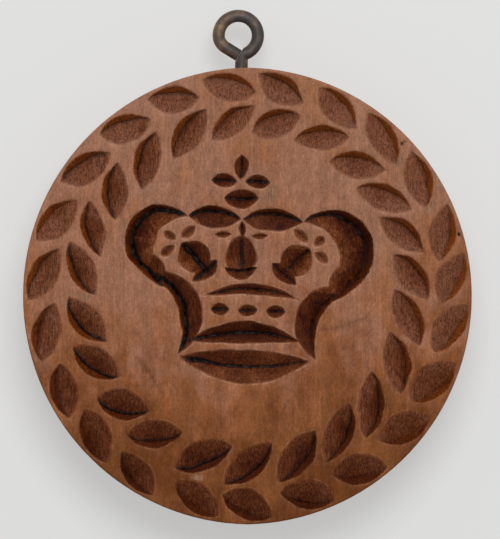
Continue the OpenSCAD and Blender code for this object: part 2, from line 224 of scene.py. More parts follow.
# Middles of the crown's two lobes in millimetres, reach of their gouge strokes, the turn from one
# stroke to the next, and how stain and painted facet shade differ from stroke to stroke, with each
# millimetre above a depth, and the painted highlight along the arrises between strokes, whose half
# width is a share of a stroke
LOBES = ((-19.1, 12.3), (18.9, 9.8))
LOBE_REACH = 9.5
STROKE_TURN = math.radians(29)
STROKE_STAIN_AND_SHADE = 0.4
STROKE_STEP = 3.7
LOBE_PALES = -0.16
LOBE_DARK = 2.4
STROKE_ARRIS = 0.06
PAINTED_RIDGE_HIGHLIGHT = -0.2
# Middles of the small petals of the crown's outer flowers in millimetres, how far from there the
# knife went wide of the line, how far past that the wood gives way, and the share of growth
PETALS = ((-17.5, 10.0), (-16.9, 13.1), (-12.9, 14.2), (16.3, 8.6), (15.7, 11.9), (11.8, 13.2))
PETAL_REACH = 1.7
PETAL_FADE = 1.5
PETAL_SPREAD = 0.22
# The leaves came out larger than drawn by this share, and the face gave way this far round them,
# less where the face between two cuts is narrow
LEAF_SPREAD = 0.056
LEAF_FADE = 0.9 * MM
LEAF_CLOSE, LEAF_CLEAR = 0.25 * MM, 1.25 * MM
# The broad leaf left of the eye, in millimetres: its middle, headings along and across, half
# length and half width, its growth to the sides and across, and its stray. With 1 at its edge:
# where its own middle lies, how far out the face gives way, and how far past that the net is close
BROAD_LEAF = Vector((-3.4, 45.9, 0))
BROAD_ALONG = Vector((0.916, -0.402, 0))
BROAD_ACROSS = Vector((0.402, 0.916, 0))
BROAD_HALF = (4.9, 2.75)
BROAD_SPREAD = (0.16, 0.17)
BROAD_STRAY = Vector((-0.55, -0.34, 0))
BROAD_CORE = 0.5
BROAD_END = 1.75
BROAD_MARGIN = 0.2
# Distances from the rim at which growth is full, and at which the wander begins and is full
GROWTH_FULL = 0.8 * MM
WANDER_FROM, WANDER_FULL = 0.8 * MM, 1.8 * MM
# Torn patches of the face, in millimetres: middle, half width, half length and depth. From
# PIT_DEPTH on they are pits
PIT_DEPTH = 0.5
WORN_PATCHES = (
    (5.1, 22.4, 2.1, 2.7, 0.2), (33.6, 29.6, 2.0, 1.9, 0.35), (33.8, 33.3, 0.5, 0.5, 0.6),
    (40.0, 19.7, 1.5, 2.2, 0.3), (46.2, 13.5, 0.6, 0.6, 0.5), (-10.9, -39.8, 1.7, 1.3, 0.15),
    (-35.2, 0.0, 1.5, 1.3, 0.12),
)
# Scratches across the face, from end to end in millimetres
SCRATCHES = (((-23.5, -14.0), (-18.5, -21.2)), ((15.8, -7.6), (20.3, -6.6), (25.9, -4.8)))

# Figure of the wood: width across the grain, length along it, both in millimetres, and detail
FIGURE = {
    "cloud": (22, 30, 2.0),
    "golden": (9, 14, 2.0),
    "mottle": (3, 5, 3.0),
    "band": (2.6, 70, 2.0),
    "blotch": (1.1, 2.4, 3.0),
    "bead": (0.55, 0.55, 2.0),
    "fibre": (0.35, 9, 3.0),
    "grain": (0.3, 0.45, 2.0),
    "dash": (0.28, 1.3, 1.0),
    "torn": (0.28, 2.2, 2.0),
}


def linear(code):
    """Linear colour of an sRGB hex code such as 8c5d45."""
    parts = [int(code[i:i + 2], 16) / 255 for i in (0, 2, 4)]
    return [c / 12.92 if c <= 0.04045 else ((c + 0.055) / 1.055) ** 2.4 for c in parts]


def colour(name, description, code):
    """Colour property with its default from an sRGB hex code."""
    return FloatVectorProperty(
        name=name, description=description, subtype="COLOR", min=0, max=1, default=linear(code)
    )


def length(name, description, millimetres, least=0):
    """Length property with its default in millimetres."""
    return FloatProperty(
        name=name, description=description, unit="LENGTH", precision=5, min=least,
        default=millimetres * MM,
    )


def amount(name, description, value):
    """Plain number property, from 0 up."""
    return FloatProperty(name=name, description=description, min=0, default=value)


class SpringerleBlock(bpy.types.PropertyGroup):
    """Sizes and colours of the carved block."""
    arris: length("Worn arris", "Width of the worn edge round each cut", 0.22)
    cut_mesh: length("Cut mesh", "Spacing of the mesh inside a cut", 0.3)
    wax_and_shade_line: length("Wax line", "Width over which the black wax in a cut thins out", 0.4)
    chatter: length("Torn fibre", "Height of the tool marks on the floors of the cuts", 0.16)
    facet: length("Gouge strokes", "Height of the gouge strokes in the crown's lobes", 0.3)
    stop_cut: length("Stop cut", "Depth of the knife line along the bottom of a cut", 0.12)
    wander: length("Wander", "Unsteadiness of the knife", 0.34)
    # Face tones from top to foot run darker: partly stain and wax, partly painted shade
    rose: colour("Rosy wood", "Stained face at the top", "9a6b53")
    tan: colour("Tan wood", "Stained face in the middle", "9a674d")
    amber: colour("Amber wood", "Face under thick wax, lower half", "844d2c")
    honey: colour("Honey wood", "Face under the thickest wax, at the foot", "6b3a17")
    gold: colour("Golden wood", "Face where the wax is thin", "965c33")
    torn_tone: colour("Torn wood", "Torn patches of the face", "92694f")
    # Worn wood: lighter bare wood on the arrises, and also a painted highlight there
    worn: colour("Worn wood", "Bare wood on the arrises", "b4886c")
    # Floor and wall tones follow the stain mark, which also holds painted shade of depth
    floor_high: colour("Palest floor", "Floor with the least stain", "734630")
    floor_mid: colour("Pale floor", "Floor with a little stain", "653720")
    floor_low: colour("Floor", "Floor with half the stain", "572a13")
    floor_deep: colour("Dark floor", "Floor with much stain", "471d0a")
    floor_last: colour("Darkest floor", "Floor with the most stain", "321207")
    wall_high: colour("Palest wall", "Wall with the least stain", "763b14")
    wall_mid: colour("Wall", "Wall with half the stain", "50220a")
    wall_low: colour("Darkest wall", "Wall with the most stain", "301009")
    # Near-black wax in the bottoms of cuts, also painted shade there; pits and scratches use it too
    wax_and_shade_tone: colour("Crease", "Black wax in the bottom of a cut", "0d0a09")
    # Painted highlight: dull blue-grey glint painted along the middle of the wax line
    painted_glint: colour("Glint", "Dull shine of that wax", "3b3d40")


class SpringerleEye(bpy.types.PropertyGroup):
    """Sizes and colours of the screw eye."""
    wire: length("Wire", "Diameter of the wire", 2.7)
    bend: length("End bend", "Radius of the tighter bend near the wire's end", 3)
    arm: length("Straight end", "Length of the wire's straight end", 3.5)
    slit: length("Slit", "Gap between the wire's end and the neck", 0.03)
    neck: length("Neck", "Height of the neck above the rim", 3.5)
    thread_pitch: length("Thread pitch", "Pitch of the thread inside the wood", 1.25)
    thread_depth: length("Thread depth", "Depth of the thread", 0.28)
    patina: colour("Patina", "Dark antiqued finish", "4c4743")
    brown: colour("Brown patina", "Half-worn finish", "685648")
    bronze: colour("Worn bronze", "Bronze where the finish has worn", "8f7355")


class SpringerleStage(bpy.types.PropertyGroup):
    """Floor, light and camera."""
    floor_tone: colour("Floor", "Pale table under the mould", "e2e2e0")
    glow: amount("Glow", "Share of the floor's light that no shadow takes", 0.58)
    window_size: length("Window", "Width of the soft window light", 550)
    window_power: amount("Window power", "Power of the window light in watts", 5.4)
    room_light: amount("Room light", "Strength of the light from all round", 0.4)
    camera_height: length("Camera height", "Height of the camera above the face", 4000)
    view_width: length("View width", "Width of the picture at the face", 109.4)
    view_x: length("View X", "Middle of the picture, across the grain", 0.57, -1)
    view_y: length("View Y", "Middle of the picture, along the grain", 5.8, -1)


def plug(tree, node, links):
    """Fills or links inputs of a shader node."""
    by_name = {socket.identifier: socket for socket in node.inputs}
    for name, value in links.items():
        if isinstance(value, bpy.types.NodeSocket):
            tree.links.new(value, by_name[name])
        else:
            by_name[name].default_value = value


def add(tree, kind, links=None, stops=None, **settings):
    """Adds a shader node, sets it up, fills or links its inputs and returns it."""
    made = tree.nodes.new("ShaderNode" + kind)
    for name, value in settings.items():
        setattr(made, name, value)
    if stops:
        scale = made.color_ramp.elements
        scale[0].position, scale[1].position = stops[0][0], stops[-1][0]
        for place, _ in stops[1:-1]:
            scale.new(place)
        for stop, (_, tone) in zip(scale, stops):
            stop.color = (*tone, 1)
    plug(tree, made, links or {})
    return made


def new_material(name):
    """New material, with its tree and its Principled shader."""
    made = bpy.data.materials.new(name)
    made.use_nodes = True
    tree = made.node_tree
    return made, tree, tree.nodes["Principled BSDF"]


def in_millimetres(tree):
    """Object coordinates in millimetres."""
    place = add(tree, "TexCoord").outputs["Object"]
    return add(tree, "Mapping", {"Vector": place, "Scale": (1 / MM,) * 3}).outputs[0]


def grains(tree, place, across, along, detail):
    """Noise with grains of a width across and a length along the wood, in millimetres."""
    drawn_out = add(tree, "Mapping", {
        "Vector": place, "Scale": (1 / across, 1 / along, 1 / across),
    }).outputs[0]
    return add(tree, "TexNoise", {
        "Vector": drawn_out, "Scale": 1.0, "Detail": detail,
    }).outputs["Fac"]


def calc(tree, how, first, second):
    """Sum, product or other result of two values."""
    return add(tree, "Math", {"Value": first, "Value_001": second}, operation=how).outputs[0]


def spread(tree, value, low, high, to_low=0.0, to_high=1.0):
    """Value stretched from one range to another and held inside it."""
    return add(tree, "MapRange", {
        "Value": value, "From Min": low, "From Max": high, "To Min": to_low, "To Max": to_high,
    }).outputs[0]


def blend(tree, share, first, second, how="MIX"):
    """Two colours blended by a share."""
    inputs = {"Factor_Float": share}
    for name, tone in (("A_Color", first), ("B_Color", second)):
        inputs[name] = tone if isinstance(tone, bpy.types.NodeSocket) else (*tone, 1)
    return add(
        tree, "Mix", inputs, data_type="RGBA", blend_type=how, clamp_factor=True
    ).outputs[2]


def shade(tree, tone, value, low, high, darkest, lightest):
    """Colour made darker and lighter by a value that runs from low to high."""
    return blend(tree, 1.0, tone, spread(tree, value, low, high, darkest, lightest), "MULTIPLY")


def ramp(tree, value, *stops):
    """Colour of a value from stops along a ramp."""
    return add(tree, "ValToRGB", {"Fac": value}, stops=stops).outputs["Color"]


def face_tone(tree, place, marks, figure, props):
    """Colour of the flat face: rosy at the top, amber at the foot where wax and handling have
    turned it and painted shade darkens it further, with golden patches, fine upright grain, dark
    pores and bare wood with a painted highlight on the arrises."""
    up = add(tree, "SeparateXYZ", {"Vector": place}).outputs["Y"]
    # Darker towards the foot: partly wax and handling, partly painted shade
    wax = spread(tree, up, BLOCK_HIGH.y / MM, BLOCK_LOW.y / MM)
    for name, most in (("cloud", 0.17), ("mottle", 0.13)):
        wax = calc(tree, "ADD", wax, spread(tree, figure[name], 0.3, 0.7, -most, most))
    tone = ramp(
        tree, wax, (0.12, props.rose), (0.5, props.tan), (0.72, props.amber), (0.94, props.honey)
    )
    tone = blend(tree, spread(tree, figure["golden"], 0.45, 0.65, 0.0, 0.5), tone, props.gold)
    upright = calc(tree, "ADD", figure["fibre"], figure["band"])
    tone = shade(tree, tone, upright, 0.7, 1.3, 0.85, 1.13)
    for name, dark, light in (("blotch", 0.85, 1.13), ("dash", 0.88, 1.1), ("grain", 0.82, 1.16)):
        tone = shade(tree, tone, figure[name], 0.3, 0.7, dark, light)
    # Lighter arrises: worn bare wood and a painted highlight, in patches
    bare_and_highlit = spread(tree, figure["blotch"], 0.42, 0.62, 0.0, 0.65)
    return blend(tree, calc(tree, "MULTIPLY", marks["arris"], bare_and_highlit), tone, props.worn)


def cut_tone(tree, marks, figure, speck, props):
    """Colour inside the cuts: floors of torn fibre, darker where it holds stain and where shade
    of depth is painted, and clean walls in a warmer brown."""
    stain = calc(tree, "ADD", marks["stain"], spread(tree, figure["torn"], 0.3, 0.7, 0.16, -0.16))
    floor = ramp(
        tree, stain, (0.0, props.floor_high), (0.25, props.floor_mid), (0.5, props.floor_low),
        (0.75, props.floor_deep), (1.0, props.floor_last),
    )
    wall = ramp(
        tree, stain, (0.0, props.wall_high), (0.5, props.wall_mid), (1.0, props.wall_low)
    )
    floor = shade(tree, floor, speck, 0.36, 0.64, 0.5, 1.5)
    wall = shade(tree, wall, speck, 0.36, 0.64, 0.55, 1.45)
    return blend(tree, marks["wall"], floor, wall)


def stained_pearwood(props):
    """Close-grained fruitwood, stained, carved and waxed: a satin face with fine upright grain,
    stain that lies darker the deeper the cut, partly as painted shade, torn fibre on the floors,
    clean knife-cut walls and black, slightly shiny wax along the bottom of each cut, darkened
    further as painted shade, with a painted glint along its middle."""
    made, tree, shader = new_material("stained_pearwood_carved_and_waxed")
    place = in_millimetres(tree)
    marks = {name: add(tree, "Attribute", attribute_name=name).outputs["Fac"] for name in MARKS}
    figure = {name: grains(tree, place, *size) for name, size in FIGURE.items()}
    # Torn fibre shows as round specks more than as streaks
    specks = calc(tree, "MULTIPLY", figure["grain"], 0.6)
    speck = calc(tree, "ADD", specks, calc(tree, "MULTIPLY", figure["torn"], 0.4))

    skin = blend(
        tree, marks["cut"], face_tone(tree, place, marks, figure, props),
        cut_tone(tree, marks, figure, speck, props),
    )
    rough_patch = shade(tree, props.torn_tone, figure["torn"], 0.36, 0.64, 0.6, 1.15)
    skin = blend(tree, marks["torn"], skin, rough_patch)
    # The wax and painted shade line is uneven, with a painted dull blue highlight along its middle
    beaded = spread(tree, figure["bead"], 0.35, 0.6, 0.7, 1.2)
    black = blend(tree, marks["painted_glint"], props.wax_and_shade_tone, props.painted_glint)
    skin = blend(tree, calc(tree, "MULTIPLY", marks["wax_and_shade"], beaded), skin, black)
    rough = spread(tree, marks["wax_and_shade"], 0.0, 1.0, 0.5, 0.34)
    # Torn fibre stands up to 0.1 mm high, and the pores and fibres of the face a little
    tooled = calc(tree, "MULTIPLY", calc(tree, "MAXIMUM", marks["cut"], marks["torn"]), speck)
    pores = calc(tree, "MULTIPLY", calc(tree, "ADD", figure["fibre"], figure["dash"]), 0.12)
    height = calc(tree, "ADD", tooled, pores)
    bump = add(tree, "Bump", {"Height": height, "Distance": 0.1 * MM, "Strength": 0.7}).outputs[0]
    plug(tree, shader, {
        "Base Color": skin, "Roughness": rough, "Specular IOR Level": 0.08, "Normal": bump,
    })
    return made


def antiqued_bronze(props):
    """Bronze wire darkened in a bath: grey-black and satin, dented a little, rubbed back to warm
    brown metal on the side that hands reach."""
    made, tree, shader = new_material("bronze_wire_antiqued_and_rubbed")
    place = in_millimetres(tree)
    # Rubbed patches about 2 mm across, most of them on the left of the loop
    across = add(tree, "SeparateXYZ", {"Vector": place}).outputs["X"]
    left = spread(tree, across, LOOP_CENTRE.x / MM, EYE_LOW.x / MM, -0.09, 0.15)
    worn = calc(tree, "ADD", grains(tree, place, 2, 2, 4.0), left)
    skin = ramp(tree, worn, (0.38, props.patina), (0.54, props.brown), (0.72, props.bronze))
    # Small dents, 0.25 mm across
    dents = grains(tree, place, 0.25, 0.25, 2.0)
    bump = add(tree, "Bump", {"Height": dents, "Distance": 0.04 * MM, "Strength": 0.5}).outputs[0]
    plug(tree, shader, {"Base Color": skin, "Metallic": 0.55, "Roughness": 0.58, "Normal": bump})
    return made


def matt_table(props):
    """Matt painted table: pale, plain, with no sheen. To the eye it glows a little, as a table
    does in a wide bright room, which keeps the shadow soft."""
    made, tree, shader = new_material("matt_painted_table")
    path = add(tree, "LightPath").outputs
    eye = path["Is Camera Ray"]
    for other in ("Is Glossy Ray", "Is Transmission Ray"):
        eye = calc(tree, "ADD", eye, path[other])
    glow = calc(tree, "MULTIPLY", eye, props.glow)
    plug(tree, shader, {
        "Base Color": blend(tree, glow, props.floor_tone, (0, 0, 0)),
        "Emission Color": (*props.floor_tone, 1), "Emission Strength": glow,
        "Roughness": 0.9, "Specular IOR Level": 0.1,
    })
    return made


def held(value):
    """Value held between 0 and 1."""
    return min(1, max(0, value))


def between(value, start, end):
    """How far a value lies from start, 0, to end, 1, held there."""
    return held((value - start) / (end - start))


def only(obj):
    """Makes obj the one selected and active object."""
    bpy.ops.object.select_all(action="DESELECT")
    obj.hide_set(False)
    obj.select_set(True)
    bpy.context.view_layer.objects.active = obj


def weld():
    """In edit mode, selects all and joins the points that meet."""
    bpy.ops.mesh.select_all(action="SELECT")
    bpy.ops.mesh.remove_doubles(threshold=WELD)


def pick(mesh, kind, test):
    """In edit mode, selects just the faces or edges that a test lets through, and counts them."""
    bpy.ops.mesh.select_mode(type=kind)
    bpy.ops.mesh.select_all(action="DESELECT")
    shape = bmesh.from_edit_mesh(mesh)
    chosen = [part for part in (shape.faces if kind == "FACE" else shape.edges) if test(part)]
    for part in chosen:
        part.select_set(True)
    bmesh.update_edit_mesh(mesh)
    return len(chosen)


def from_rim(spot):
    """Distance of a spot from the block's outline, two half rounds drawn together."""
    return BLOCK_R - math.hypot(abs(spot.x) + HALF_SHRINK, spot.y)


def kind_of(face):
    """FACE for the flat front, CUT for a wall or floor of the carving, OTHER for the rest."""
    middle = face.calc_center_median()
    if face.normal.z > FACE_UP and middle.z > FACE_Z - FACE_SLACK:
        return FACE
    carved = CUT_UP[0] < face.normal.z < CUT_UP[1] and middle.z > FACE_Z - DEEPEST_CUT
    return CUT if carved and from_rim(middle) > RIM_ROLL else OTHER


def tree_of(spots, flat):
    """Search tree of spots, seen from above if flat."""
    tree = kdtree.KDTree(len(spots))
    for i, spot in enumerate(spots):
        tree.insert((spot.x, spot.y, 0 if flat else spot.z), i)
    tree.balance()
    return tree


def near_wear(spot):
    """How far a spot, in millimetres, lies inside a torn patch of the face (1 at its middle,
    0 outside) and how deep that patch is."""
    best = (0.0, 0.0)
    for x, y, across, along, deep in WORN_PATCHES:
        gap = math.hypot((spot.x - x) / across, (spot.y - y) / along)
        if 1 - gap > best[0]:
            best = (1 - gap, deep)
    return best


def on_broad_leaf(spot):
    """Where a spot, in millimetres, lies on the broad leaf, along it and across it, and how far
    out, 1 being its edge."""
    arm = Vector((spot.x, spot.y, 0)) - BROAD_LEAF
    along, across = arm.dot(BROAD_ALONG), arm.dot(BROAD_ACROSS)
    return along, across, math.hypot(along / BROAD_HALF[0], across / BROAD_HALF[1])


class Cut:
    """One cut of the carving: its middle, its row, and how stain and wax took to it."""

    def __init__(self, faces):
        self.middle = sum((f.calc_center_median() for f in faces), Vector()) / len(faces)
        depth = FACE_Z - min(v.co.z for f in faces for v in f.verts)
        out = math.hypot(self.middle.x, self.middle.y)
        self.row = CROWN if out < INNER_ROW else INNER if out < OUTER_ROW else OUTER
        self.luck = noise.noise(self.middle / LUCK_SPAN)
        # Stain and wax lie thicker in the leaves on the lower left, where side is -1
        slant = (self.middle.x + SIDE_SLANT * self.middle.y) / SIDE_SPAN
        self.side = 0 if self.row is CROWN else math.tanh(slant)
        # Small cuts hold less stain and less wax and painted shade, and their two sides are alike
        self.small = 1 - min(1, depth / SMALL_DEPTH)
        # The broad leaf grew in its own way
        self.grew = self.row is not CROWN and on_broad_leaf(self.middle / MM)[2] > BROAD_CORE


def find_cuts(shape, kinds):
    """The cut that each carved face belongs to, by the number of the face."""
    cut_of = {}
    for start in shape.faces:
        if kinds[start.index] != CUT or start.index in cut_of:
            continue
        members, seen = [start], {start.index}
        for face in members:
            for other in (f for e in face.edges for f in e.link_faces):
                if kinds[other.index] == CUT and other.index not in seen:
                    seen.add(other.index)
                    members.append(other)
        cut_of.update(dict.fromkeys(seen, Cut(members)))
    return cut_of


class Front:
    """The carved front in plan: its points, the lines to keep between them, and search trees of
    the bottoms and the edges of the cuts."""

    def __init__(self, shape, props):
        shape.faces.index_update()
        self.kinds = [kind_of(f) for f in shape.faces]
        self.cut_of = find_cuts(shape, self.kinds)
        self.down = bvhtree.BVHTree.FromBMesh(shape)
        self.points, self.lines = [], []
        bottoms, ring = self.draw_edges(shape, props)
        self.bottoms = tree_of(bottoms, flat=False)
        self.draw_scratches(props)
        self.fill_between(ring, props)
        # Width of the face from each point on the edge of a cut to the next cut
        self.edges = [p for p in self.points if p.lies == EDGE and p.cut]
        self.edge_tree = tree_of([p.place for p in self.edges], flat=True)
        self.widths = [self.nearest(p.place, p.cut)[1] for p in self.edges]

    def put(self, place, sides, lies):
        """Sets a point between faces of the CAD block and returns its number."""
        carved = [f for f in sides if self.kinds[f.index] == CUT]
        facing = Vector((0, 0, 1))
        if carved:
            facing = sum((f.normal for f in carved), Vector()).normalized()
        cut = self.cut_of[carved[0].index] if carved else None
        self.points.append(Point(place, facing, cut, lies))
        return len(self.points) - 1

    def chain(self, start, end, count, sides, lies):
        """Draws a line between two points in a count of steps."""
        row = [start]
        for i in range(1, count):
            place = self.points[start].place.lerp(self.points[end].place, i / count)
            row.append(self.put(place, sides, lies))
        row.append(end)
        self.lines.extend(zip(row, row[1:]))

    def draw_edges(self, shape, props):
        """Draws the edges, ridges and bottoms of the cuts. Returns spots along the bottoms, and
        the ring of spots where the worn arris round each cut ends."""
        bottoms, ring, known = [], [], {}
        for e in shape.edges:
            sides = list(e.link_faces)
            pair = {self.kinds[f.index] for f in sides}
            bend = e.calc_face_angle_signed() if pair == {CUT} else 0
            if pair in ({FACE}, {OTHER}) or pair == {CUT} and abs(bend) < CREASE_ANGLE:
                continue
            lies = EDGE if pair == {FACE, CUT} else None
            for v in e.verts:
                if v not in known:
                    around = {self.kinds[f.index] for f in v.link_faces}
                    at_edge = EDGE if {FACE, CUT} <= around else None
                    known[v] = self.put(v.co.copy(), v.link_faces, at_edge)
            a, b = e.verts
            count = 1 if OTHER in pair else math.ceil(e.calc_length() / props.cut_mesh)
            self.chain(known[a], known[b], count, sides, lies)
            if bend < 0:
                steps = math.ceil(e.calc_length() / BOTTOM_STEP)
                bottoms += [a.co.lerp(b.co, i / steps) for i in range(steps + 1)]
            if lies:
                flat = next(f for f in sides if self.kinds[f.index] == FACE)
                third = next(v for v in flat.verts if v not in e.verts)
                across = Vector((a.co.y - b.co.y, b.co.x - a.co.x, 0)).normalized()
                if across.dot(third.co - a.co) < 0:
                    across.negate()
                across *= props.arris
                ring += [a.co.lerp(b.co, i / count) + across for i in range(count + 1)]
        return bottoms, ring

    def draw_scratches(self, props):
        """Draws the scratches of the face."""
        for run in SCRATCHES:
            row = [self.put(Vector((x * MM, y * MM, FACE_Z)), [], SCRATCH) for x, y in run]
            for start, end in zip(row, row[1:]):
                span = (self.points[start].place - self.points[end].place).length
                self.chain(start, end, math.ceil(span / props.cut_mesh), [], SCRATCH)

    def fill(self, spot, fixed, room, wanted):
        """Sets a point under a spot if it has room: in a cut always, on the face if wanted."""
        place, facing, face, _ = self.down.ray_cast((spot.x, spot.y, FACE_Z + MM), (0, 0, -1))
        if not place or self.kinds[face] == OTHER:
            return
        if fixed.find((place.x, place.y, 0))[2] <= room:
            return
        cut, spot = self.cut_of.get(face), place / MM
        by_leaf = on_broad_leaf(spot)[2] < BROAD_END + BROAD_MARGIN
        if cut or wanted or by_leaf or near_wear(spot)[0] > 0:
            self.points.append(Point(place, facing, cut, None))

    def fill_between(self, ring, props):
        """Sets the ring round each cut and then an even net of points, close in the cuts."""
        fixed = tree_of([p.place for p in self.points], flat=True)
        for spot in ring:
            self.fill(spot, fixed, RING_ROOM * props.arris, True)
        fixed = tree_of([p.place for p in self.points], flat=True)
        step = ROW_SHARE * props.cut_mesh
        rows = int(BLOCK_R / step) + 1
        for j in range(-rows, rows + 1):
            for i in range(-rows, rows + 1):
                spot = Vector(((i + j % 2 / 2) * props.cut_mesh, j * step, 0))
                if from_rim(spot) > RIM_ROLL:
                    wanted = i % FACE_STRIDE == 0 and j % FACE_STRIDE == 0
                    self.fill(spot, fixed, NET_ROOM * props.cut_mesh, wanted)

    def nearest(self, place, but=None):
        """Nearest point on the edge of a cut, but for one cut's: its number and distance."""
        _, number, away = self.edge_tree.find(
            (place.x, place.y, 0), filter=lambda i: self.edges[i].cut is not but
        )
        return number, away


def pattern(spot, across, along, layer):
    """Noise with patches of a width across and a length along the grain, in millimetres. Each
    layer is another pattern."""
    return noise.noise(Vector((spot.x / across, spot.y / along, layer)))


def stain_of(cut, spot, sunk, wall):
    """Darkness of the stain and painted shade in a cut: 0 lightest, 1 darkest. It lies thickest in
    the crown, and in the leaves it grows with depth, partly as painted shade, and towards the
    foot of the mould."""
    taken = cut.row.wall_stain if wall > 0.5 else cut.row.floor_stain
    # Depth darkens the stain, partly as painted shade deep in the cut
    stain = taken.base + taken.deeper * sunk + taken.lower * between(spot.y, *LEAF_DARKENS)
    if taken is CROWN.floor_stain:
        stain -= FOOT_PALE * between(spot.y, *FOOT_PALES)
    fine, broad = (noise.noise(spot / size) for size in STAIN_PATCHES)
    stain += cut.row.patchy * (SMALL_PATCHES * fine + broad)
    stain += STAIN_BY_LUCK * cut.luck + STAIN_BY_SIDE * cut.side
    return stain + STAIN_BY_SMALL * cut.small


def wax_of(cut, spot, sunk, gap, wall, props):
    """Share of black wax and painted shade at a spot of a cut, and of its painted glint. Wax and
    painted shade fill the bottoms of the crown's cuts, and less of those of the leaves. They lie
    further up the floor than up the wall, with a painted highlight along their middle."""
    row = cut.row
    share = row.wax + row.by_side * cut.side + row.by_luck * cut.luck
    on_floor, on_wall = row.on_floor, row.on_wall
    if row is CROWN:
        left = between(spot.x, *CROWN_LEFT)
        on_floor += LEFT_FLOOR * left
        on_wall += LEFT_WALL * left
        share -= WAX_SHADE_SCARCE * between(spot.x, *CROWN_RIGHT) * between(spot.y, *CROWN_LOWER)
    reach = on_floor + (on_wall - on_floor) * wall
    reach *= (1 + row.ragged * noise.noise(spot / WAX_SHADE_PATCH)) * (1 - cut.small)
    # Band of black wax and painted shade along the bottom of the cut
    wax_and_shade_band = held((reach - gap) / (props.wax_and_shade_line / MM) + 0.5)
    wax_and_shade_band *= min(1, sunk / WAX_SHADE_DEPTH) ** WAX_SHADE_POWER
    # Painted highlight: a lighter line painted along the middle of the wax band
    shine = (1 - wall) * max(0, PAINTED_GLINT_MEAN + noise.noise(spot / PAINTED_GLINT_PATCH)) * (1 - cut.small)
    if not row.shine[0] < gap < row.shine[1]:
        shine = 0.0
    return wax_and_shade_band * held(share) * max(0, 1 - 2 * cut.small), shine


def gouge(spot, sunk):
    """Height, as a share, and change of stain and painted shade from the flat gouge strokes round
    each lobe of the crown. Stain and painted facet shade differ at random from stroke to stroke;
    they are paler towards the middle of the lobe, and carry a painted highlight along their
    arrises."""
    height = stain = 0
    for x, y in LOBES:
        if math.hypot(spot.x - x, spot.y - y) < LOBE_REACH:
            stroke = math.atan2(spot.y - y, spot.x - x) / STROKE_TURN
            number = math.floor(stroke)
            height += (abs(stroke - number - 0.5) - 0.25) * min(1, sunk)
            # Painted facet shade: each stroke lighter or darker at random
            stain += STROKE_STAIN_AND_SHADE * noise.noise(Vector((number * STROKE_STEP, x, y)))
            stain += LOBE_PALES * max(0, LOBE_DARK - sunk)
            # Painted highlight along the arris between two strokes
            if abs(stroke - round(stroke)) < STROKE_ARRIS:
                stain += PAINTED_RIDGE_HIGHLIGHT
    return height, stain


def carve_point(point, front, marks, props):
    """Sets the marks of a point in a cut and returns its shift under gouge and knife."""
    cut, spot = point.cut, point.place / MM
    sunk = (FACE_Z - point.place.z) / MM
    gap = front.bottoms.find(point.place)[2] / MM
    wall = between(point.facing.z, FLOOR_UP, WALL_UP) * max(0, 1 - 2 * cut.small)
    marks["cut"] = min(1, sunk / (CUT_FADE - WALL_SOONER * wall))
    marks["wall"] = max(wall, cut.row.clean)
    marks["stain"] = stain_of(cut, spot, sunk, wall)
    marks["wax_and_shade"], marks["painted_glint"] = wax_of(cut, spot, sunk, gap, wall, props)
    # Torn fibre runs along the grain, on floors more than on walls
    torn = noise.noise(Vector((spot.x / FIBRE[0], spot.y / FIBRE[1], spot.z / FIBRE[0])))
    torn = (torn + noise.noise(spot / LUMP)) / 2
    loose = (1 - WALL_CLEAN * wall) * min(1, sunk / FIBRE_DEPTH) * cut.row.fibre
    shift = point.facing * props.chatter * loose * torn
    if wall < 0.5:
        # Real gouge facets, with painted facet shade and ridge highlights on top
        height, stain = gouge(spot, sunk)
        shift.z += props.facet * height
        marks["stain"] += stain
    if gap < STOP_NEAR and sunk > STOP_FROM:
        shift.z -= props.stop_cut
    return shift


def wear_point(point, marks):
    """Sets the marks of a point of the face and returns its shift where the face is torn."""
    spot = point.place / MM
    share, deep = near_wear(spot)
    if share == 0:
        return Vector()
    marks["torn"] = held(2 * share + pattern(spot, *TORN_EDGE))
    if deep >= PIT_DEPTH:
        # Pits are dark inside
        marks["wax_and_shade"] = min(1, 1.5 * share)
    rough = 0.6 + 0.6 * pattern(spot, *TORN_DEPTH)
    return Vector((0, 0, -deep * MM * marks["torn"] * rough))


def petal_shift(spot):
    """Growth of the small petals, and of the wood that gives way round them."""
    shift = Vector()
    for x, y in PETALS:
        arm = Vector((spot.x - x, spot.y - y, 0))
        out = max(arm.length, PETAL_REACH)
        fade = max(0, 1 - (out - PETAL_REACH) / PETAL_FADE)
        shift += arm * PETAL_SPREAD * fade * PETAL_REACH / out * MM
    return shift


def leaf_shift(point, front):
    """Growth of the leaves, and of the face that gives way round them."""
    number, away = front.nearest(point.place)
    width = front.widths[number]
    fade = between(width, LEAF_CLOSE, LEAF_CLEAR)
    if point.cut is None:
        fade *= max(0, 1 - away / min(LEAF_FADE, max(WELD, width / 2)))
        point = front.edges[number]
    if not point.cut.grew:
        return Vector()
    arm = point.place - point.cut.middle
    return Vector((arm.x, arm.y, 0)) * LEAF_SPREAD * fade


def broad_shift(spot):
    """Growth and stray of the broad leaf, and of the face that gives way round it."""
    along, across, out = on_broad_leaf(spot)
    shift = BROAD_ACROSS * across * BROAD_SPREAD[1] + BROAD_STRAY
    shift.x += along * BROAD_SPREAD[0]
    return shift * between(out, BROAD_END, 1) * MM


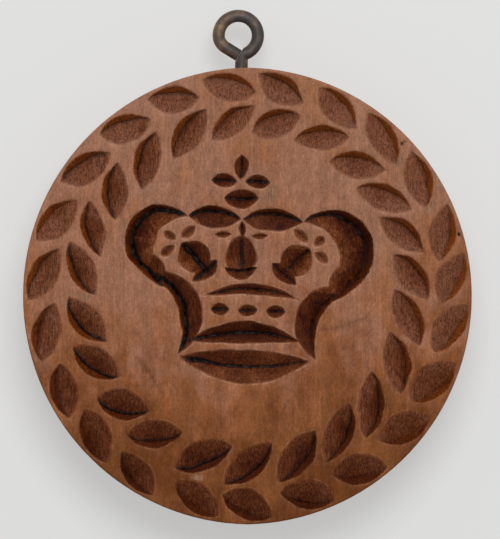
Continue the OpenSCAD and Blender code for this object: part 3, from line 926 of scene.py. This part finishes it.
def work(point, front, props):
    """A point of the front after the tools and the years: its new place and its marks."""
    marks = dict.fromkeys(MARKS, 0.0)
    if point.cut:
        shift = carve_point(point, front, marks, props)
    else:
        shift = wear_point(point, marks)
    if point.lies == EDGE:
        # Arrises get worn bare wood and a painted highlight
        marks["arris"] = point.cut.row.arris
        shift.z -= ARRIS_ROUND * props.arris
    if point.lies == SCRATCH:
        marks["wax_and_shade"] = SCRATCH_DARK
        shift.z -= SCRATCH_DEPTH
    spot, room = point.place / MM, from_rim(point.place)
    shift += petal_shift(spot)
    grown = leaf_shift(point, front) + broad_shift(spot)
    shift += grown * between(room, RIM_ROLL, GROWTH_FULL)
    # The knife wandered a little off every line
    free = props.wander * between(room, WANDER_FROM, WANDER_FULL)
    shift.x += free * pattern(spot, *WANDER_X)
    shift.y += free * pattern(spot, *WANDER_Y)
    return point.place + shift, marks


def carved_front(front, props):
    """Mesh of the carved front: triangles between the points, worked by tools and years."""
    seen = [Vector((p.place.x, p.place.y)) / MM for p in front.points]
    _, _, faces, source, _, _ = geometry.delaunay_2d_cdt(seen, front.lines, [], 0, SAME_SPOT, True)
    places, marks = [], {name: [] for name in MARKS}
    for origin in source:
        if not origin:
            raise RuntimeError("two lines of the carving cross")
        place, own = work(front.points[origin[0]], front, props)
        places.append(place)
        for name, value in own.items():
            marks[name].append(value)
    mesh = bpy.data.meshes.new("carved_front")
    mesh.from_pydata(places, [], faces)
    for name, values in marks.items():
        mesh.attributes.new(name, "FLOAT", "POINT").data.foreach_set("value", values)
    return mesh


def carved_block(props):
    """The CAD block with its front drawn anew in triangles even enough for tool marks, which the
    long slivers of the CAD mesh can't carry."""
    block = bpy.data.objects.new("carved_block", frame["nodes"][BLOCK_NODE].data.copy())
    bpy.context.scene.collection.objects.link(block)
    block.data.materials.clear()
    only(block)
    bpy.ops.object.mode_set(mode="EDIT")
    weld()
    bpy.ops.mesh.customdata_custom_splitnormals_clear()
    plan = Front(bmesh.from_edit_mesh(block.data), props)
    pick(block.data, "FACE", lambda f: kind_of(f) != OTHER)
    bpy.ops.mesh.delete(type="FACE")
    bpy.ops.object.mode_set(mode="OBJECT")
    front = bpy.data.objects.new("carved_front", carved_front(plan, props))
    bpy.context.scene.collection.objects.link(front)
    only(block)
    front.select_set(True)
    bpy.ops.object.join()
    bpy.ops.object.mode_set(mode="EDIT")
    weld()
    bpy.ops.mesh.normals_make_consistent()
    bpy.ops.object.mode_set(mode="OBJECT")
    return block


class SPRINGERLE_OT_block(bpy.types.Operator):
    """Carves the block: worn arrises, tooled floors, stained and waxed wood"""
    bl_idname = "springerle.block"
    bl_label = "Carved block"

    def execute(self, context):
        props = context.scene.springerle_block
        block = carved_block(props)
        block.data.materials.append(stained_pearwood(props))
        only(block)
        bpy.ops.object.shade_smooth_by_angle(angle=BLOCK_SHARP)
        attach(block, "mould")
        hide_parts(BLOCK_NODE)
        return {"FINISHED"}


def carve(piece, tool, how):
    """Joins a tool to a piece or cuts it away, and removes the tool."""
    only(piece)
    modifier = piece.modifiers.new("carve", "BOOLEAN")
    modifier.object = tool
    modifier.operation = how
    modifier.solver = "EXACT"
    bpy.ops.object.modifier_apply(modifier="carve")
    bpy.data.objects.remove(tool)


def heading_of(turn):
    """Unit vector in the plane of the loop at an angle from the X axis."""
    return Vector((math.cos(turn), math.sin(turn), 0))


def bent_wire(props):
    """Wire bent round the loop from the neck, then more tightly towards the neck again, and the
    middle of its last ring."""
    radius = props.wire / 2
    loop_r = LOOP_OUTER - radius
    bpy.ops.mesh.primitive_circle_add(
        vertices=WIRE_SIDES, radius=radius, location=LOOP_CENTRE + loop_r * heading_of(LOOP_FROM),
        rotation=(math.pi / 2, 0, LOOP_FROM),
    )
    wire = bpy.context.object
    wire.name = "bent_eye"
    bpy.ops.object.transform_apply()
    bpy.ops.object.mode_set(mode="EDIT")
    bpy.ops.mesh.select_all(action="SELECT")
    bpy.ops.mesh.spin(
        steps=LOOP_STEPS, angle=BEND_FROM - LOOP_FROM, center=LOOP_CENTRE, axis=(0, 0, -1)
    )
    bend = LOOP_CENTRE + (loop_r - props.bend) * heading_of(BEND_FROM)
    bpy.ops.mesh.spin(steps=BEND_STEPS, angle=BEND_TURN, center=bend, axis=(0, 0, -1))
    weld()
    bpy.ops.mesh.fill_holes(sides=0)
    bpy.ops.mesh.normals_make_consistent()
    bpy.ops.object.mode_set(mode="OBJECT")
    return wire, bend + props.bend * heading_of(BEND_FROM + BEND_TURN)


def threaded_shank(props, top):
    """Round shank from its point to a height under the loop, threaded inside the wood."""
    tip = EYE_LOW.y
    bpy.ops.mesh.primitive_cylinder_add(
        vertices=SHANK_SIDES, radius=SHANK_R, depth=top - tip, rotation=(-math.pi / 2, 0, 0),
        location=(EYE_ROOT.x, (tip + top) / 2, EYE_ROOT.z),
    )
    shank = bpy.context.object
    bpy.ops.object.transform_apply()
    bpy.ops.object.mode_set(mode="EDIT")
    half = (top - tip) / 2
    pick(shank.data, "EDGE", lambda e: abs(e.verts[0].co.y - e.verts[1].co.y) > half)
    bpy.ops.mesh.subdivide(number_cuts=SHANK_RINGS)
    for v in bmesh.from_edit_mesh(shank.data).verts:
        arm = Vector((v.co.x - EYE_ROOT.x, v.co.z - EYE_ROOT.z))
        climb = v.co.y / props.thread_pitch - math.atan2(arm.y, arm.x) / (2 * math.pi)
        groove = abs(2 * (climb - math.floor(climb)) - 1)
        groove *= between(EYE_ROOT.y - v.co.y, THREAD_FROM, THREAD_FULL)
        taper = min(1, max(POINT_BLUNT, (v.co.y - tip) / POINT_LENGTH))
        arm = arm.normalized() * taper * (SHANK_R - props.thread_depth * groove)
        v.co.x = EYE_ROOT.x + arm.x
        v.co.z = EYE_ROOT.z + arm.y
    bmesh.update_edit_mesh(shank.data)
    bpy.ops.object.mode_set(mode="OBJECT")
    return shank


def screw_eye(props):
    """Screw eye whose bent end stops at a slit beside the neck."""
    wire, bend_end = bent_wire(props)
    carve(wire, threaded_shank(props, EYE_ROOT.y + props.neck), "UNION")
    heading = heading_of(ARM_HEADING)
    stop = bend_end + heading * (props.arm + props.slit)
    bpy.ops.mesh.primitive_cube_add(
        size=1, scale=[side * props.wire for side in SLOT], rotation=(0, 0, ARM_HEADING),
        location=stop - heading * SLOT[0] / 2 * props.wire,
    )
    carve(wire, bpy.context.object, "DIFFERENCE")
    only(wire)
    bpy.ops.object.mode_set(mode="EDIT")

    def at_end(face):
        away = (face.calc_center_median() - bend_end).length
        return face.normal.dot(heading) > END_SQUARE and away < END_NEAR * props.wire

    if not pick(wire.data, "FACE", at_end):
        raise RuntimeError("the bent wire has no end to draw out")
    bpy.ops.mesh.extrude_region_move(TRANSFORM_OT_translate={"value": heading * props.arm})
    bpy.ops.mesh.bevel(offset=END_BEVEL, segments=2, affect="EDGES")
    bpy.ops.object.mode_set(mode="OBJECT")
    return wire


class SPRINGERLE_OT_eye(bpy.types.Operator):
    """Bends the wire into a screw eye, with its thread and antiqued finish"""
    bl_idname = "springerle.eye"
    bl_label = "Screw eye"

    def execute(self, context):
        props = context.scene.springerle_eye
        eye = screw_eye(props)
        eye.data.materials.append(antiqued_bronze(props))
        only(eye)
        bpy.ops.object.shade_smooth_by_angle(angle=EYE_SHARP)
        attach(eye, "eye")
        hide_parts(EYE_NODE)
        return {"FINISHED"}


class SPRINGERLE_OT_stage(bpy.types.Operator):
    """Sets the pale table, the soft light from the top and the camera above"""
    bl_idname = "springerle.stage"
    bl_label = "Stage"

    def execute(self, context):
        props = context.scene.springerle_stage
        bpy.ops.mesh.primitive_plane_add(size=TABLE_SIZE, location=(0, 0, -TABLE_DROP))
        table = context.object
        table.name = "table"
        table.data.materials.append(matt_table(props))

        middle = Vector((props.view_x, props.view_y, FACE_Z))
        bpy.ops.object.light_add(type="AREA", location=WINDOW_AT)
        window = context.object
        window.name = "soft_window"
        window.data.shape = "DISK"
        window.data.size = props.window_size
        window.data.energy = props.window_power
        window.rotation_euler = (middle - window.location).to_track_quat("-Z", "Y").to_euler()

        world = bpy.data.worlds.new("soft_room")
        context.scene.world = world
        world.use_nodes = True
        tree = world.node_tree
        plug(tree, tree.nodes["Background"], {"Color": SKY_TONE, "Strength": props.room_light})

        above = middle + Vector((0, 0, props.camera_height))
        bpy.ops.object.camera_add(location=above, rotation=(0, 0, 0))
        camera = context.object
        camera.data.sensor_fit = "VERTICAL"
        view_height = props.view_width * PHOTO_H / PHOTO_W
        camera.data.lens = camera.data.sensor_height * props.camera_height / view_height
        camera.data.clip_start = CLIP_START
        context.scene.camera = camera
        context.scene.view_settings.view_transform = "Standard"
        return {"FINISHED"}


class SPRINGERLE_PT_panel(bpy.types.Panel):
    """Lists the mould's pieces and stage"""
    bl_label = "Springerle mould"
    bl_space_type = "VIEW_3D"
    bl_region_type = "UI"
    bl_category = "Springerle"

    def draw(self, context):
        scene = context.scene
        for operator, props in (
            (SPRINGERLE_OT_block, scene.springerle_block),
            (SPRINGERLE_OT_eye, scene.springerle_eye),
            (SPRINGERLE_OT_stage, scene.springerle_stage),
        ):
            box = self.layout.box()
            box.operator(operator.bl_idname)
            for name in props.__annotations__:
                box.prop(props, name)


GROUPS = {
    "springerle_block": SpringerleBlock,
    "springerle_eye": SpringerleEye,
    "springerle_stage": SpringerleStage,
}
CLASSES = (
    *GROUPS.values(), SPRINGERLE_OT_block, SPRINGERLE_OT_eye, SPRINGERLE_OT_stage,
    SPRINGERLE_PT_panel,
)


def register():
    for made in CLASSES:
        bpy.utils.register_class(made)
    for name, group in GROUPS.items():
        setattr(bpy.types.Scene, name, PointerProperty(type=group))


def unregister():
    for name in GROUPS:
        delattr(bpy.types.Scene, name)
    for made in reversed(CLASSES):
        bpy.utils.unregister_class(made)


def main():
    register()
    bpy.ops.springerle.block()
    bpy.ops.springerle.eye()
    bpy.ops.springerle.stage()


if __name__ == "__main__":
    main()
